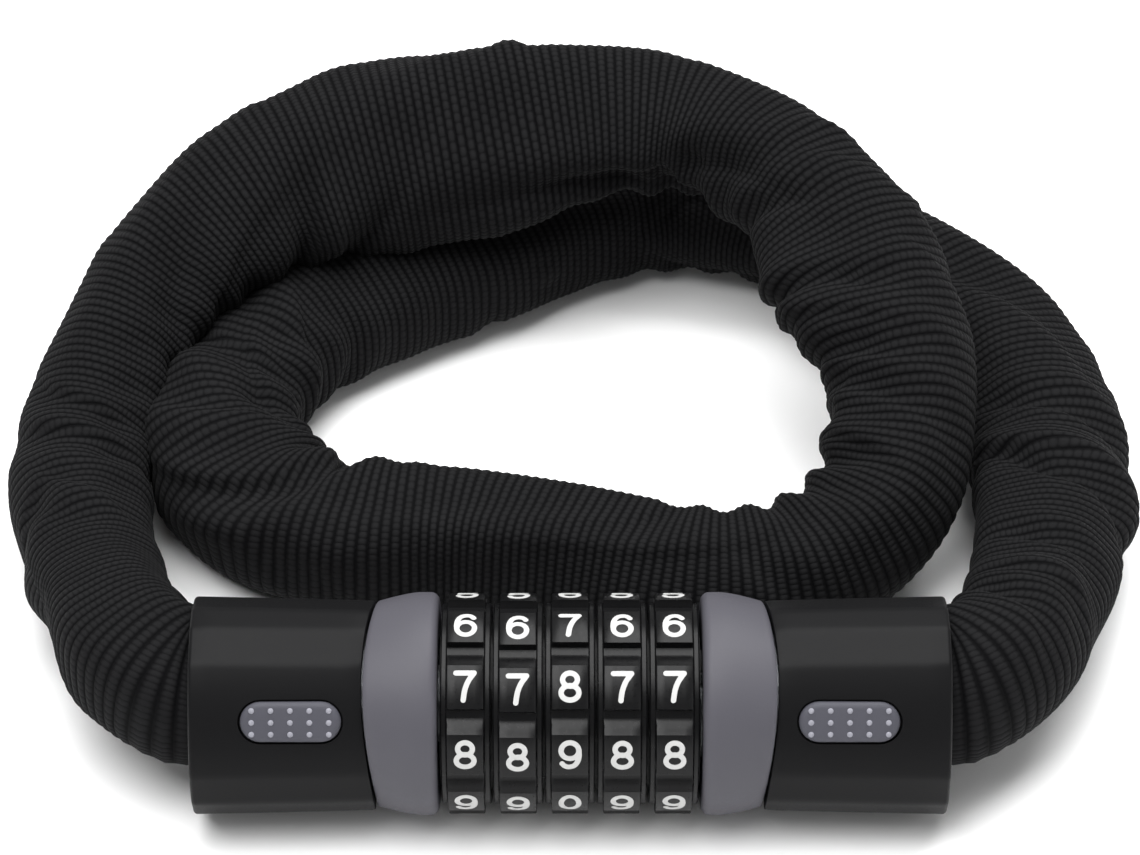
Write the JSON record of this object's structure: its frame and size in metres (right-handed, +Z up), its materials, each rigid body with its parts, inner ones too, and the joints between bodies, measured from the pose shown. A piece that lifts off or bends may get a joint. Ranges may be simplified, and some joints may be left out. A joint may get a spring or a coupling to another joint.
{
  "type": "combination chain lock",
  "caption": "Number-dial combination lock with two gripped end caps that closes a steel chain in a woven fabric sleeve into a loop.",
  "frame": {"origin": "below the middle of the lock, on the surface that it lies on", "axes": "+X along the lock's axis from the body end to the plug end, +Y towards the chain's loop, +Z up"},
  "size_m": [0.1759, 0.1583, 0.0478],
  "materials": {
    "cap_plastic": "fine-grained black moulding",
    "grey_plastic": "satin grey moulding",
    "dial_plastic": "gloss black moulding with white numbers",
    "pad_rubber": "grey, with raised dots",
    "fabric": "black ribbed woven nylon tube",
    "steel": "hardened, plated",
    "zinc": "die-cast zinc alloy",
    "brass": "turned"
  },
  "bodies": {
    "lock_body": {"body_core": "zinc", "body_cover": "cap_plastic", "body_cover_pin": "steel", "body_trim_ring": "grey_plastic", "body_grip_pad": "pad_rubber", "body_chain_pin": "steel", "dial_barrel": "zinc", "barrel_pin": "steel", "click_spring": "steel", "retaining_clip": "steel", "ejector_spring": "steel", "sleeve_body_side": "fabric", "chain_link_body_01": "steel", "chain_link_body_02": "steel", "chain_link_body_03": "steel", "chain_link_body_04": "steel", "chain_link_body_05": "steel", "chain_link_body_06": "steel", "chain_link_body_07": "steel", "chain_link_body_08": "steel", "chain_link_body_09": "steel", "chain_link_body_10": "steel", "chain_link_body_11": "steel", "chain_link_body_12": "steel", "chain_link_body_13": "steel", "chain_link_body_14": "steel", "chain_link_body_15": "steel", "chain_link_body_16": "steel", "chain_link_body_17": "steel", "chain_link_body_18": "steel", "chain_link_body_19": "steel"},
    "plug": {"plug_core": "zinc", "plug_cover": "cap_plastic", "plug_cover_pin": "steel", "plug_trim_ring": "grey_plastic", "plug_grip_pad": "pad_rubber", "plug_chain_pin": "steel", "locking_bolt": "steel", "bolt_pin": "steel", "sleeve_plug_side": "fabric", "chain_link_plug_01": "steel", "chain_link_plug_02": "steel", "chain_link_plug_03": "steel", "chain_link_plug_04": "steel", "chain_link_plug_05": "steel", "chain_link_plug_06": "steel", "chain_link_plug_07": "steel"},
    "dial_1_set": {"dial_1": "dial_plastic", "code_ring_1": "brass"},
    "dial_2_set": {"dial_2": "dial_plastic", "code_ring_2": "brass"},
    "dial_3_set": {"dial_3": "dial_plastic", "code_ring_3": "brass"},
    "dial_4_set": {"dial_4": "dial_plastic", "code_ring_4": "brass"},
    "dial_5_set": {"dial_5": "dial_plastic", "code_ring_5": "brass"}
  },
  "joints": [
    {"name": "plug_slide", "type": "slide", "parent": "lock_body", "child": "plug", "axis": [1, 0, 0], "range_m": [0, 0.046], "deforming": ["ejector_spring"]},
    {"name": "dial_1_turn", "type": "hinge", "parent": "lock_body", "child": "dial_1_set", "pos_m": [-0.01494, 0, 0.0162], "axis": [1, 0, 0], "continuous": true},
    {"name": "dial_2_turn", "type": "hinge", "parent": "lock_body", "child": "dial_2_set", "pos_m": [-0.00747, 0, 0.0162], "axis": [1, 0, 0], "continuous": true},
    {"name": "dial_3_turn", "type": "hinge", "parent": "lock_body", "child": "dial_3_set", "pos_m": [0, 0, 0.0162], "axis": [1, 0, 0], "continuous": true},
    {"name": "dial_4_turn", "type": "hinge", "parent": "lock_body", "child": "dial_4_set", "pos_m": [0.00747, 0, 0.0162], "axis": [1, 0, 0], "continuous": true},
    {"name": "dial_5_turn", "type": "hinge", "parent": "lock_body", "child": "dial_5_set", "pos_m": [0.01494, 0, 0.0162], "axis": [1, 0, 0], "continuous": true}
  ]
}
